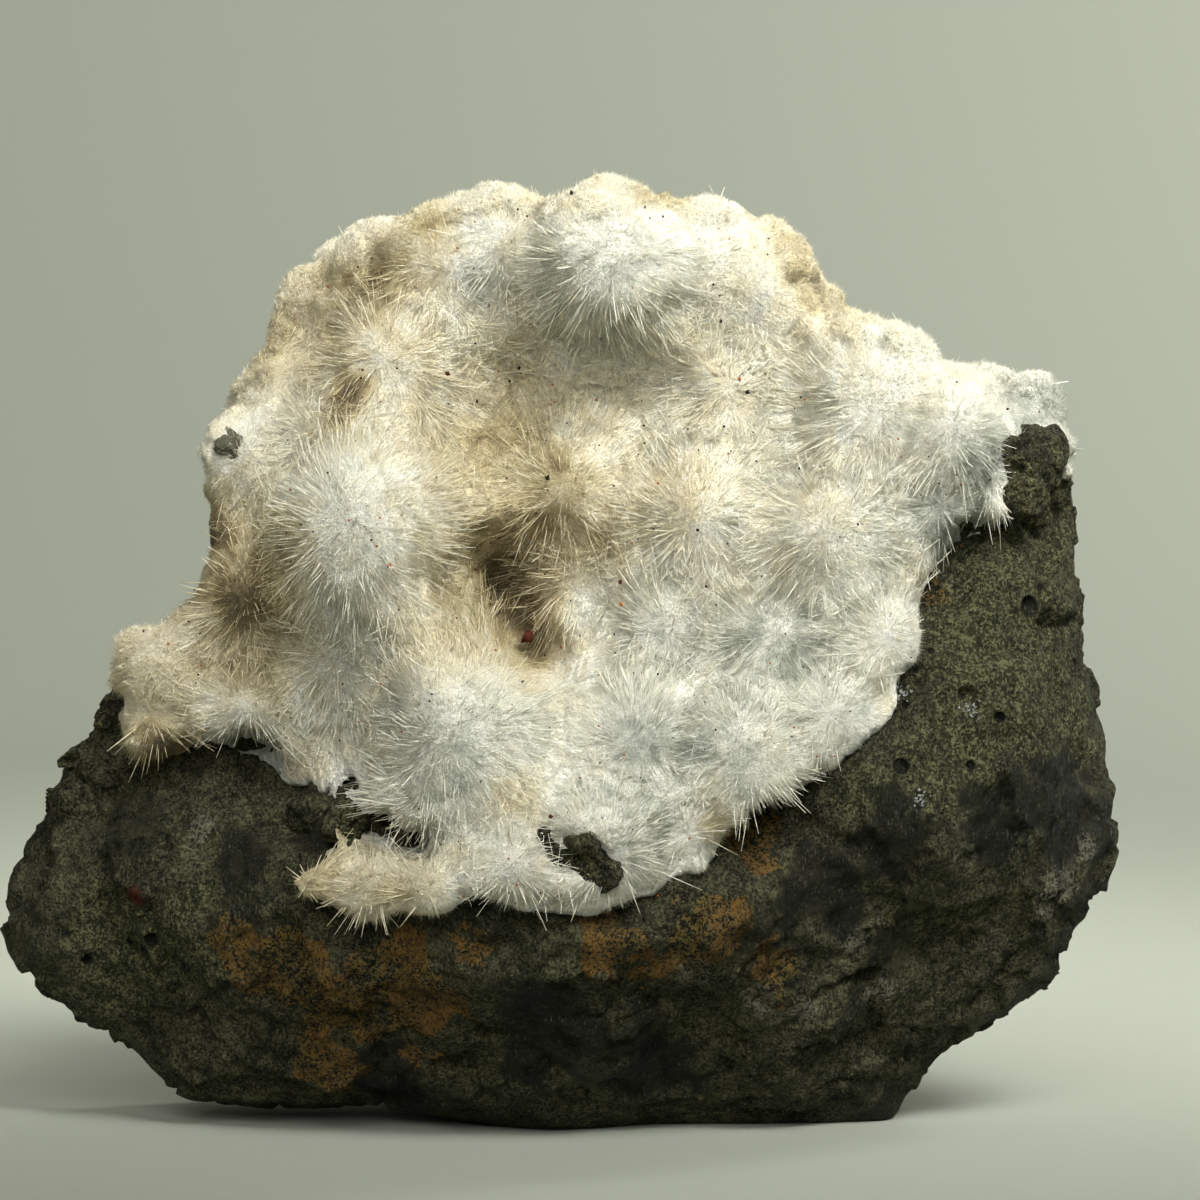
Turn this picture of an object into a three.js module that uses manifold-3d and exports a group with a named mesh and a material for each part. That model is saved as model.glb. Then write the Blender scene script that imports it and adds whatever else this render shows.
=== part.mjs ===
// Okenite puffballs on a broken lump of basalt: half of a vug, lined and topped with matted white needles.
// Millimetres, +Z up, the vug faces -Y. The lump stands on a small flat break at z = 0.
import * as THREE from "three";
import { mergeVertices } from "three/addons/utils/BufferGeometryUtils.js";
import Module from "manifold-3d";

const wasm = await Module();
wasm.setup();

// Driving dimensions
const ROCK_CENTRE = [3.5, 40]; // x and z that the outlines are swept about
const CRUST_CENTRE = [1, 50];
const ROCK_RIM_Y = 4; // the rim of the lump, seen from the front
const ROCK_BACK = 23; // how far the broken back bulges behind the rim
const ROCK_DETAIL = 9;
const CRUST_DETAIL = 7;
const LARGE_PUFF = 7; // puffs of at least this radius get the most spines
const SMALL_PUFF = 5; // and those under this one the fewest
const FELT = 3.4; // matted needles under the puffs
const FELT_ROOT = 3.5; // how deep the crust's own blank reaches into the basalt before it is cut back
const GAP = 0.32; // left between crust and basalt
const OFFSET = [0.2, -0.7, 0]; // brings the middle of the part's box to the origin
const SPINE = 0.17; // how far a puff's spines stand over its hollows, as a share of its radius

// Edge of the basalt seen from the front, x and z, clockwise from its left tip
const ROCK_EDGE = [
  [-49, 19.5], [-47.5, 25], [-45, 27.5], [-42.5, 30.5], [-41.5, 33], [-39.5, 36.5], [-37.5, 39.5],
  [-35, 41], [-30.5, 43], [-28.5, 48.5], [-27.5, 55.5], [-26, 60], [-23, 64], [-20.5, 69],
  [-17, 72.5], [-12, 74.5], [-3.5, 76], [5, 75.5], [13.5, 75], [17.5, 73.5],
  [20.5, 69.5], [23.5, 65.5], [29, 63.5], [36.5, 63], [40, 60.5], [43, 57.5], [44.5, 54.5],
  [44.5, 51], [45, 46], [44.5, 43], [45.5, 39.5], [47, 34], [48.5, 29.5], [49, 25],
  [47, 21], [44.5, 16.5], [43, 13], [39, 10], [36, 9], [33.5, 6], [31, 2],
  [28, -1.2], [12, -1.5], [-3.5, -1.2], [-8.5, 0], [-11.5, 0.5], [-15, 1.5], [-19.5, 1],
  [-24.5, 0.5], [-27.5, 2], [-31.5, 2], [-34.5, 3], [-37.5, 7], [-41, 8], [-45, 11], [-48, 13.5],
];

// Edge of the okenite, from its right end down round the vug's lip and back over the top
const CRUST_EDGE = [
  [44, 60], [42, 57.5], [39.5, 55.5], [37.5, 53], [35, 49], [31, 46.5], [30, 41],
  [28.5, 35.5], [25.5, 33.5], [24.5, 30.5], [19.5, 28.5], [15.5, 27.5], [11.5, 26], [10.5, 23],
  [11, 20], [7, 19.5], [1.5, 19.5], [-3.5, 20], [-7.5, 21], [-11, 22.5], [-12, 25],
  [-14.5, 27], [-18, 27], [-22, 28], [-25.5, 29], [-27, 32.5], [-30.5, 33], [-35, 30.5],
  [-37.5, 30], [-39.5, 32.5], [-38.5, 37.5], [-37, 41], [-35.5, 44], [-31.5, 45], [-30.5, 49.5],
  [-31, 53.5], [-29.5, 59], [-28, 62], [-25.5, 65], [-24, 68], [-22.5, 73], [-20.5, 75],
  [-18.5, 78], [-15.5, 78], [-13, 78.5], [-11, 80], [-9.5, 79.5], [-7, 79.5], [-1.5, 80],
  [5, 80], [12, 79], [16.5, 79], [20, 77.5], [21.5, 74], [23.5, 70.5], [25, 68],
  [26.5, 67], [31.5, 67], [37.5, 66.5], [40.5, 64.5], [42.5, 62],
];

// Depth of the basalt's front at chosen places: x, z and y. The vug is the hollow in the middle.
const FRONT = [
  // the vug's wall, under the okenite
  [-16, 50.5, -9], [-26.5, 45, -4], [-28, 57.5, -3], [-22, 68, -3], [-13.5, 74, -5], [3.5, 73.5, -11],
  [2.5, 65, -2], [0, 55.5, -3], [-4, 44.5, 4], [9, 43, -5], [12, 62, -5], [18, 42, -8],
  [22, 50, -8], [26.5, 62, -8], [31.5, 53.5, -10], [15.5, 76, -8], [-7.5, 33.5, -12], [7, 33.5, -12],
  [15.5, 31.5, -14], [3.5, 23, -17], [-34.5, 39.5, -5], [-37.5, 31.5, -3],
  // bare basalt right of the vug
  [37.5, 45, -12], [34, 36.5, -16], [42.5, 48.5, -8], [46, 28, -6], [41, 28, -12], [29, 29, -19],
  // dark ledge and shelf at the left
  [-26.5, 30.5, -4], [-18.5, 21.5, -15], [-30.5, 24, -10], [-41, 21.5, -5],
  // the ridge under the vug
  [-5, 18, -22], [3.5, 17.5, -23], [12, 18.5, -22], [-18, 17, -18], [-30.5, 19.5, -12],
  // the face that falls back below the ridge
  [3.5, 11, -17], [20.5, 11, -13], [33, 11, -8], [-7, 4.5, -14], [-22, 4.5, -12], [-37.5, 9.5, -5],
  // the foot
  [12, 6, -9], [12, 1, -5], [27, 2, -3], [-8.5, 1, -12], [-22, 1.5, -9],
];

// Puffs of needles: x, z, radius and how far the centre stands over the felt, as a share of the radius
const PUFFS = [
  // left of the vug
  [-16, 50.5, 8.5, 0.35], [-14.5, 65, 6.5, 0.2], [-25.5, 45, 7, 0], [-26, 56, 5.5, 0.1],
  [-24, 63, 5, 0.1], [-15.5, 73, 5, 0.2], [-10.5, 72.5, 6, 0.2], [-20.5, 70, 4.5, 0.1],
  [-20, 59, 5, 0], [-34, 39.5, 5, 0.1], [-34.5, 34.5, 4.5, 0.1], [-18.5, 40.5, 6, 0],
  [-26.5, 36.5, 5, -0.1],
  // floor of the vug
  [1, 54.5, 6, -0.2], [2, 46.5, 5.5, -0.3], [12, 52.5, 6.5, -0.1], [9.5, 42.5, 6, -0.1],
  [18, 41.5, 6.5, 0], [22, 50, 7, 0.1], [-5, 39.5, 5, -0.1], [14, 63, 5, -0.2],
  // right lobe
  [26, 61, 8, 0.3], [32, 58.5, 6, 0.4], [31.5, 52.5, 4.5, 0.2], [36, 56, 5, 0.1],
  [37, 62, 4.5, 0.1], [41, 61, 4, 0], [42.5, 57, 3, 0],
  // top mass
  [4, 73, 7.5, 0.4], [-4.5, 74.5, 6, 0.2], [11.5, 74, 6, 0.3], [17, 72, 5.5, 0.3], [21, 70, 4.5, 0],
  [-17, 72, 6, -1], [-8.5, 74, 6.5, -1], [1, 74.5, 6, -1.1], [9, 74, 6, -1], [17, 72.5, 5.5, -1], [33, 61, 5.5, -1],
  // lower lip
  [-7.5, 33.5, 8, 0.3], [-11, 28, 5.5, 0.2], [6.5, 33.5, 6.5, 0.2], [15, 32.5, 6, 0.2],
  [3.5, 25.5, 6, 0.1], [22, 35.5, 5, 0], [27, 42, 4.5, 0], [10.5, 26, 4, 0], [-3.5, 23.5, 4, 0],
  // the strip that creeps left along the ledge
  [-10.5, 22, 3.5, 0.1], [-15.5, 21.5, 3.5, 0.1], [-20.5, 22, 3, 0.1],
];

// Flat breaks that bound the lump: the way each one faces and how far it lies from the middle of the lump
const MIDDLE = [0, 4, 36];
const BREAKS = [
  [0.15, 1, 0.35, 18.5], [-0.5, 1, 0.1, 21.5], [0.75, 1, -0.1, 27], [0.1, 1, -0.75, 31.5], [-0.9, 0.8, 0.9, 32],
  [0.5, 0.9, 1, 37], [-1, 0.7, -0.5, 43], [1, 0.9, 0.45, 38], [-0.2, 0.75, 1, 39],
  [-0.75, -0.55, -1, 43.5], [0.9, -0.6, -0.75, 43.5], [1, -0.9, 0.1, 40.5],
];

// Broken gas bubbles in the bare basalt: x, z and radius
const PITS = [
  [39.5, 44.5, 0.9], [36.5, 35.5, 0.8], [42.5, 36.5, 0.7], [34, 37, 1.1], [29.5, 29, 0.9], [38, 21.5, 0.8],
  [-34.5, 16.5, 1], [-40.5, 14.5, 0.9], [-31.5, 14, 0.8], [-22, 12.5, 0.8], [17, 14.5, 0.7],
];

// A repeatable number from 0 to 1 for a whole-numbered place
function hash(i, j, k) {
  const s = Math.sin(i * 127.1 + j * 311.7 + k * 74.7) * 43758.5453;
  return s - Math.floor(s);
}

// Smooth lumps from -1 to 1, one lump to a cell
function lumps(x, y, z, cell) {
  const p = [x / cell, y / cell, z / cell];
  const base = p.map(Math.floor);
  const f = p.map((v, i) => THREE.MathUtils.smoothstep(v - base[i], 0, 1));
  let sum = 0;
  for (let c = 0; c < 8; c++) {
    const o = [c & 1, (c >> 1) & 1, (c >> 2) & 1];
    const w = o.reduce((a, side, i) => a * (side ? f[i] : 1 - f[i]), 1);
    sum += w * hash(base[0] + o[0], base[1] + o[1], base[2] + o[2]);
  }
  return 2 * sum - 1;
}

// Distance from a centre to an edge in the direction of an angle
function reach(edge, [cx, cz], angle) {
  const dx = Math.cos(angle);
  const dz = Math.sin(angle);
  let best = 0;
  edge.forEach(([x1, z1], i) => {
    const [x2, z2] = edge[(i + 1) % edge.length];
    const ex = x2 - x1;
    const ez = z2 - z1;
    const cross = dx * ez - dz * ex;
    if (Math.abs(cross) < 1e-9) return;
    const along = ((x1 - cx) * ez - (z1 - cz) * ex) / cross;
    const share = ((x1 - cx) * dz - (z1 - cz) * dx) / cross;
    if (along > best && share >= -1e-6 && share <= 1 + 1e-6) best = along;
  });
  return best;
}

// How far a place lies from the centre, as a share of the way to the edge
function shareOut(edge, centre, x, z) {
  const dx = x - centre[0];
  const dz = z - centre[1];
  return Math.hypot(dx, dz) / reach(edge, centre, Math.atan2(dz, dx));
}

// Depth of the basalt's front face, weighted by nearness to the chosen places
function frontDepth(x, z) {
  let sum = 0;
  let weight = 0;
  for (const [px, pz, py] of FRONT) {
    const w = 1 / ((x - px) ** 2 + (z - pz) ** 2 + 1.5) ** 2;
    sum += w * py;
    weight += w;
  }
  return sum / weight;
}

// The front face with its rounded fall to the rim
function rockFront(x, z) {
  const t = Math.min(1, shareOut(ROCK_EDGE, ROCK_CENTRE, x, z));
  const fall = (1 - t ** 7) ** 0.45;
  return ROCK_RIM_Y + (frontDepth(x, z) - ROCK_RIM_Y) * fall;
}

// Sends each point of a unit ball to its place: the ball's rim goes to the edge, its two halves to front and back.
function sweep(detail, edge, centre, place) {
  const ball = new THREE.IcosahedronGeometry(1, detail);
  ball.deleteAttribute("normal");
  ball.deleteAttribute("uv");
  const g = mergeVertices(ball, 1e-4);
  const p = g.attributes.position;
  for (let i = 0; i < p.count; i++) {
    const angle = Math.atan2(p.getZ(i), p.getX(i));
    const t = Math.min(1, Math.hypot(p.getX(i), p.getZ(i)));
    const r = t * reach(edge, centre, angle);
    const x = centre[0] + r * Math.cos(angle);
    const z = centre[1] + r * Math.sin(angle);
    const [px, py, pz] = place(x, z, t, p.getY(i) > 0);
    p.setXYZ(i, px, py, pz);
  }
  return g;
}

// Moves every point out along its normal
function grow(g, by) {
  g.computeVertexNormals();
  const p = g.attributes.position;
  const n = g.attributes.normal;
  for (let i = 0; i < p.count; i++)
    p.setXYZ(i, p.getX(i) + by * n.getX(i), p.getY(i) + by * n.getY(i), p.getZ(i) + by * n.getZ(i));
  g.deleteAttribute("normal");
  return g;
}

function solid(geometry) {
  const g = mergeVertices(geometry, 1e-4);
  return new wasm.Manifold(
    new wasm.Mesh({
      numProp: 3,
      vertProperties: new Float32Array(g.attributes.position.array),
      triVerts: new Uint32Array(g.index.array),
    }),
  );
}

// The lump: front from the chosen depths, back broken in flat-sided chunks
function rockGeometry() {
  return sweep(ROCK_DETAIL, ROCK_EDGE, ROCK_CENTRE, (x, z, t, back) => {
    const rough = 0.9 * lumps(x, 0, z, 4) + 0.5 * lumps(x, 9, z, 1.9);
    if (!back) {
      const cover = Math.min(1, shareOut(CRUST_EDGE, CRUST_CENTRE, x, z));
      return [x, rockFront(x, z) + rough * (cover < 1 ? 0.2 : 0.8), z];
    }
    const chunks = 4 * lumps(x, 20, z, 17) + 2 * lumps(x, 30, z, 8);
    const bulge = (1 - t ** 6) ** 0.5;
    return [x, ROCK_RIM_Y + (ROCK_BACK + chunks + rough) * bulge, z];
  });
}

function pit([x, z, r]) {
  const g = new THREE.IcosahedronGeometry(r, 1);
  g.scale(1, 1.3, 0.8);
  g.rotateY(hash(x, z, 1));
  g.translate(x, rockFront(x, z) - 0.2 * r, z);
  g.deleteAttribute("normal");
  g.deleteAttribute("uv");
  return solid(g);
}

// A ball with every other point pulled in, so it bristles
function puff([x, z, r, lift], index) {
  const ball =
    r < SMALL_PUFF ? new THREE.DodecahedronGeometry(1, 0) : new THREE.IcosahedronGeometry(1, r < LARGE_PUFF ? 1 : 2);
  ball.deleteAttribute("normal");
  ball.deleteAttribute("uv");
  ball.rotateX(index * 0.7);
  ball.rotateY(index * 1.3);
  const g = mergeVertices(ball, 1e-4);
  const p = g.attributes.position;
  for (let i = 0; i < p.count; i++) {
    const tip = hash(i, index, 3) > 0.5 ? 1.03 : 1.03 - SPINE;
    const s = r * (tip - 0.04 * hash(index, i, 5));
    p.setXYZ(i, p.getX(i) * s, p.getY(i) * s, p.getZ(i) * s);
  }
  g.translate(x, rockFront(x, z) - FELT - lift * r, z);
  return solid(g);
}

// Everything beyond a flat break
function beyond([nx, ny, nz, distance]) {
  const g = new THREE.BoxGeometry(200, 200, 60);
  g.deleteAttribute("normal");
  g.deleteAttribute("uv");
  const facing = new THREE.Vector3(nx, ny, nz).normalize();
  g.translate(0, 0, 30 + distance);
  g.applyQuaternion(new THREE.Quaternion().setFromUnitVectors(new THREE.Vector3(0, 0, 1), facing));
  g.translate(...MIDDLE);
  return solid(g);
}

function biggest(manifold) {
  return manifold.decompose().sort((a, b) => b.volume() - a.volume())[0];
}

const floor = new THREE.BoxGeometry(200, 200, 40);
floor.translate(0, 0, -20);
floor.deleteAttribute("normal");
floor.deleteAttribute("uv");
const floorSolid = solid(floor);

let basalt = solid(rockGeometry()).subtract(floorSolid);
for (const b of BREAKS) basalt = basalt.subtract(beyond(b));
for (const p of PITS) basalt = basalt.subtract(pit(p));
basalt = biggest(basalt);

const felt = sweep(CRUST_DETAIL, CRUST_EDGE, CRUST_CENTRE, (x, z, t, back) => {
  const edge = (1 - t ** 8) ** 0.5;
  const bumps = 0.5 * lumps(x, 3, z, 3);
  return [x, rockFront(x, z) + edge * (back ? FELT_ROOT : bumps - FELT), z];
});
let okenite = solid(felt);
PUFFS.forEach((p, i) => {
  okenite = okenite.add(puff(p, i));
});
okenite = biggest(okenite.subtract(solid(grow(rockGeometry(), GAP))));

// One named node of the part
function node(name, manifold, colour, roughness) {
  const m = manifold.getMesh();
  const g = new THREE.BufferGeometry();
  g.setAttribute("position", new THREE.BufferAttribute(new Float32Array(m.vertProperties), 3));
  g.setIndex(new THREE.BufferAttribute(new Uint32Array(m.triVerts), 1));
  const flat = g.toNonIndexed();
  flat.computeVertexNormals();
  const mesh = new THREE.Mesh(flat, new THREE.MeshStandardMaterial({ color: colour, roughness, metalness: 0 }));
  mesh.name = name;
  mesh.position.set(...OFFSET);
  return mesh;
}

const part = new THREE.Group();
part.add(node("basalt_matrix", basalt, "#34372a", 0.85));
part.add(node("okenite_crust", okenite, "#dedbc5", 0.6));

export default part;
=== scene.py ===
"""Okenite puffballs on a broken lump of basalt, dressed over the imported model."""

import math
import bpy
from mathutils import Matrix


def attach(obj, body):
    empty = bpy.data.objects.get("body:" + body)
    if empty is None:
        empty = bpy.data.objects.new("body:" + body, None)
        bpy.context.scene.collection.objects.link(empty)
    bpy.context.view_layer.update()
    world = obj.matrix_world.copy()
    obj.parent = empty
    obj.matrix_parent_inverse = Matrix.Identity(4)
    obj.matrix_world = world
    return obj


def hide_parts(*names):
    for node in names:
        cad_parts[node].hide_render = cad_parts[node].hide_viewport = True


bl_info = {
    "name": "Okenite puffball",
    "version": (1, 0, 0),
    "blender": (4, 5, 0),
    "location": "View3D > Sidebar > Okenite",
    "description": "Builds a basalt vug lined with okenite needles over its packed model",
    "category": "Add Mesh",
}

import bpy
import numpy as np
from mathutils import Vector
from mathutils.bvhtree import BVHTree

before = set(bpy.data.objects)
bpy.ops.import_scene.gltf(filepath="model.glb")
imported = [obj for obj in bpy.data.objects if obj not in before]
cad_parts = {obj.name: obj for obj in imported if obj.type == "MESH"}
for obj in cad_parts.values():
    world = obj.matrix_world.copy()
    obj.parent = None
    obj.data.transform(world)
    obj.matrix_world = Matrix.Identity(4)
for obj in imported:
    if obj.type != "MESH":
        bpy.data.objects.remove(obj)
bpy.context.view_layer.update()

MM = 0.001
MIDDLE = np.array([0.2, -0.7, 0.0])  # mm, the shift of the part's own frame
ROCK_RIM_Y = 4.0  # mm, depth of the lump's rim
FELT = 3.4  # mm, matted needles under the puffs
IN_FRONT = -80.0  # mm, a y before everything, where lines of sight start
GOLDEN_ANGLE = 2.39996  # radians from one needle's corners to the next one's
FRESH_FACE = 21  # seed of the ragged edge of the fresh break
LOCK_CELL = 0.16  # radians across a lock of needles, seen from the middle of its puff
LOCK_SEED = 61
NUCLEUS = 0.45  # how far from a puff's middle its needles spread from, as a share of its radius
FUR_SUNK = 0.3  # mm of a fine needle's foot that is hidden in the mat
NUB_MESH = 0.16  # mm, spacing of the nubs' mesh
CRYSTALS = 34  # quartz crystals in a patch of 1 mm radius

# Puffs of needles, mm: x, z, radius, lift over the felt as a share of the radius, and where on its
# face the needles spread from, as shares of the radius to the right and up
PUFFS = [
    # left of the vug
    (-16, 50.5, 8.5, 0.35, -0.25, 0.2), (-14.5, 65, 6.5, 0.2, -0.1, 0.1), (-25.5, 45, 7, 0, -0.2, 0.1),
    (-26, 56, 5.5, 0.1, -0.3, 0.5), (-24, 63, 5, 0.1, -0.4, 0.2), (-15.5, 73, 5, 0.2, 0.1, 0.8),
    (-10.5, 72.5, 6, 0.2, 0.6, 0.3), (-20.5, 70, 4.5, 0.1, 0.3, 0.6), (-20, 59, 5, 0, 0, 0),
    (-34, 39.5, 5, 0.1, 0, 0.7), (-34.5, 34.5, 4.5, 0.1, 0, 0.5), (-18.5, 40.5, 6, 0, 0, 0),
    (-26.5, 36.5, 5, -0.1, 0.1, 0),
    # floor of the vug
    (1, 54.5, 6, -0.2, -0.3, -0.1), (2, 46.5, 5.5, -0.3, 0, 0.3), (12, 52.5, 6.5, -0.1, -0.2, -0.2),
    (9.5, 42.5, 6, -0.1, -0.1, 0), (18, 41.5, 6.5, 0, 0, 0.3), (22, 50, 7, 0.1, 0, 0.4),
    (-5, 39.5, 5, -0.1, 0, 0), (14, 63, 5, -0.2, 0, 0),
    # right lobe
    (26, 61, 8, 0.3, 0, 0.1), (32, 58.5, 6, 0.4, 0, 0.2), (31.5, 52.5, 4.5, 0.2, 0, 0.2),
    (36, 56, 5, 0.1, 0, 0), (37, 62, 4.5, 0.1, 0, 0), (41, 61, 4, 0, 0, 0), (42.5, 57, 3, 0, 0, 0),
    # top mass
    (4, 73, 7.5, 0.4, -0.1, 0.1), (-4.5, 74.5, 6, 0.2, 0.2, 0.1), (11.5, 74, 6, 0.3, 0.1, -0.1),
    (17, 72, 5.5, 0.3, -0.5, 0.1), (21, 70, 4.5, 0, -0.4, 0), (-17, 72, 6, -1, 0, 0),
    (-8.5, 74, 6.5, -1, 0, 0), (1, 74.5, 6, -1.1, 0, 0), (9, 74, 6, -1, 0, 0), (17, 72.5, 5.5, -1, 0, 0),
    (33, 61, 5.5, -1, 0, 0),
    # lower lip
    (-7.5, 33.5, 8, 0.3, -0.5, 0.1), (-11, 28, 5.5, 0.2, 0.2, 0.5), (6.5, 33.5, 6.5, 0.2, 0, 0),
    (15, 32.5, 6, 0.2, 0, 0), (3.5, 25.5, 6, 0.1, 0.2, -0.3), (22, 35.5, 5, 0, 0, 0),
    (27, 42, 4.5, 0, 0, 0), (10.5, 26, 4, 0, 0, 0), (-3.5, 23.5, 4, 0, 0, 0.3),
    # the strip that creeps left along the ledge
    (-10.5, 22, 3.5, 0.1, 0, 0), (-15.5, 21.5, 3.5, 0.1, 0, 0.2), (-20.5, 22, 3, 0.1, 0, 0.2),
]

# Rim of the crust, mm: x, z and how wide the broken rind is, from the left end over the top to the right
RIM = [
    (-39.5, 32, 0.6), (-38.5, 37.5, 0.9), (-35.5, 44, 0.6), (-30.5, 49.5, 0.5), (-31, 53.5, 0.5),
    (-29.5, 59, 0.8), (-26, 65, 1.8), (-23.5, 72, 2.6), (-19, 78, 4.2), (-11, 80, 3.6), (-1.5, 80.5, 3.2),
    (9, 80, 2.6), (16.5, 79, 2.4), (20, 77.5, 3.6), (22, 73, 3.2), (25, 68, 2.4), (31.5, 67, 2),
    (37.5, 66.5, 3.2), (40.5, 64.5, 4.2), (42.5, 62, 4.4), (44.6, 59, 3.6), (44, 56.5, 2.4),
]

# Where okenite is tinted, mm: x, z, radius and a place on the tint scale. Some are real stains; others are
# painted shade: dark in recesses and at the left edge, grey-brown on the shaded ball at the left (partly a
# real stain), grey on the lower puffs and the right lobe, darker tan on the vug's field and the ledge strip
TINTS = [
    (-22, 68, 8, 0.45), (-15.5, 72.8, 4.2, 0.74), (-9.5, 70, 3, 0.36), (-11, 76.5, 2, 0.6),
    (-18, 77.5, 4, 0.28), (-29, 52, 3.5, 0.5), (-26.3, 44.8, 6.3, 0.71), (-35, 40, 6, 0.42),
    (-34, 33, 3, 0.7), (20, 74, 4, 0.42), (22, 71, 4, 0.45), (-2, 80, 5, 0.34), (9, 80, 2.5, 0.55),
    (12, 61, 9, 0.34), (-5, 58, 7, 0.57), (-3, 46, 3.5, 0.6), (-9, 42, 4, 0.45), (-20, 22, 4, 0.56),
    (-7, 71.7, 1.5, 0.12), (8, 42, 2.5, 0.16), (-17.3, 62.5, 1.8, 0.74), (-17.9, 60.2, 1.6, 0.64),
    (-7.5, 31, 2, 0.14), (10, 54, 3, 0.4), (22, 52.5, 3, 0.34), (12.5, 27, 1.5, 0.6), (-10, 27, 2.5, 0.16),
    (2.5, 67, 4, 0.22), (-17.5, 44.5, 3.5, 0.2), (-30.2, 50.5, 1.8, 0.8), (5, 36, 6, 0.34),
    (-4, 30, 2, 0.6), (17, 47, 5, 0.34), (-1.5, 52, 5.5, 0.56), (7, 33.5, 6, 0.11), (-8.5, 33, 5, 0.17),
    (18, 41.5, 5.5, 0.14), (41.5, 60.5, 5.5, 0.1), (35, 56, 2, 0.04), (32, 51, 2.2, 0.05),
    (-7.5, 46, 4, 0.5), (-13, 22, 4, 0.48),
]

# Long dark gap between puffs, mm: two ends (x, z), half width and depth
CLEFT_TOP = np.array([-5.5, 48.0])
CLEFT_END = np.array([-2.4, 41.0])
CLEFT_HALF = 2.5
CLEFT_DEPTH = 3.8

# Where the okenite leaves the basalt bare inside its outline, mm: x, z, radius and how far it drops back
BARE = [
    (-24.5, 27.5, 3, 8), (-26, 30.6, 3.2, 8), (-20.5, 26.8, 2.6, 8), (-17, 26.1, 2.9, 8),
    (-14, 25.9, 2.1, 8), (-11.6, 25.6, 1.5, 8), (38, 56.8, 2.1, 3.2), (40.6, 55.8, 1.8, 3),
    (37.6, 54.6, 1.7, 2.8), (0.3, 24.9, 1.5, 1.5), (2.8, 24.2, 1.7, 1.5), (34.6, 50.6, 1.6, 5),
    (31.2, 46, 1.3, 5), (29.6, 38.8, 1.4, 5), (26.3, 33.7, 1.3, 5), (20.2, 29.3, 1.6, 5),
    (13.9, 24.3, 1.3, 5), (8.6, 20.7, 1.2, 5),
]

# Patches on the bare basalt, mm: x, z and radius. FRESH_BREAK is where the rock broke last, BLACK_SKIN
# a dark skin, OCHRE iron stain, PALE a thin grey smear and RED a spot of red iron oxide
FRESH_BREAK = [
    (40.4, 53.7, 4.7), (38.3, 45.2, 6.4), (37.4, 37.6, 7.2), (31.5, 31.6, 5.1), (44.2, 35, 3.8),
    (25.5, 29.9, 2.6), (42.5, 48.6, 3.8), (34, 41.8, 6), (-37, 15.5, 6), (-31, 17, 5), (-42, 13, 4.5),
]
BLACK_SKIN = [
    (41.6, 29.1, 5), (45, 26, 4), (36, 26.5, 4.5), (27, 25.5, 4), (22, 21.5, 4), (0, 9.5, 4.5), (8, 6, 4.5),
    (-20, 26, 3), (-27, 23, 3), (-14, 5, 4),
]
OCHRE = [
    (-22, 14.6, 5), (-18.7, 11.2, 5), (-13.6, 14.6, 4.5), (-19.5, 7, 3.5), (-11, 11.2, 4), (-26.4, 17, 2.2),
    (3.4, 18, 2.5), (6.8, 14.6, 2.5), (11.9, 18.4, 3.5), (17.8, 14.6, 2.5), (31, 46.8, 0.8),
    (38, 56.5, 2.2), (-8, 17, 3), (17, 26, 2.5),
]
PALE = [
    (24.6, 16.7, 1.2), (16.6, 12, 1.8), (27.2, 12, 1.6), (42.5, 21, 1.6), (40.8, 19.5, 1.2),
    (20.4, 11.2, 1.2), (11, 14.6, 2), (-25, 24.1, 1), (-30, 26.4, 1.2), (34, 24, 1.2), (45, 24, 1),
]
RED = [(-35.7, 20.3, 0.9)]

# Open gas bubbles in the basalt, mm: x, z and radius
PITS = [
    (39.5, 44.7, 0.95), (40.4, 46.3, 0.4), (36.5, 35.5, 0.5), (28.0, 31.6, 0.75), (34, 31.5, 0.45),
    (28.5, 36.6, 0.4), (-34.5, 16.5, 0.65), (-40.5, 14.5, 0.45), (-31.5, 14.2, 0.6), (-36.6, 16.2, 0.35),
    (-35.2, 15.6, 0.45), (30.8, 41, 0.3), (44, 40, 0.3), (-22, 12.5, 0.3), (17, 14.5, 0.3),
]

# Lumps of basalt that stand out of the okenite, mm: x, z and radius
NUBS = [
    (39.2, 56.6, 3.2), (41.3, 55, 2.6), (38.2, 54.4, 2.6), (40.5, 57.6, 2.3), (37.2, 57.2, 1.6),
    (39.6, 53, 2.2), (-20.5, 27, 2.2), (-17.6, 26.5, 2.1), (-14.8, 26.1, 1.9), (-12.3, 25.8, 1.4),
    (0.2, 24.9, 1.7), (2.4, 24.1, 2.0), (2.2, 26.2, 1.3), (-0.9, 26.4, 1.1), (3.9, 23.4, 1.3),
    (-28.3, 58.4, 1.1), (-27.4, 58.2, 0.9), (-41, 35.5, 1.5), (-42, 33.2, 1.8), (-41, 31, 1.9),
    (-39.6, 38.2, 1.1), (-43.5, 31, 1.3), (-39, 29.6, 1.5),
]

# Patches of clear quartz crystals next to the okenite, mm: x, z and radius
DRUSE = [(34, 36.3, 0.9), (29.6, 29, 0.8), (36.4, 56.8, 0.9), (28.4, 37.5, 0.7)]

# Loose grains on the needles, mm: x, z, size and the colour's place in GRAIN_COLOURS
NAMED_GRAINS = [
    (-2.3, 41.1, 1.6, 1), (-9.8, 64.3, 0.5, 1), (-3.4, 65.2, 0.45, 0), (14.9, 63.7, 0.55, 2),
    (15.7, 62.6, 0.45, 0), (1.3, 78.6, 0.5, 0), (-0.8, 55, 0.6, 0), (5.5, 46.9, 0.45, 1),
    (5.7, 44.9, 0.5, 2), (-13.8, 48.2, 0.5, 2), (13.6, 68.8, 0.4, 0), (-7.3, 62, 0.4, 1),
    (3.5, 67.5, 0.4, 0), (11.7, 51, 0.35, 0), (-0.5, 27.8, 0.5, 1),
]
GRAIN_COLOURS = ["#1c1b15", "#4a1d0d", "#a85a1c"]


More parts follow.
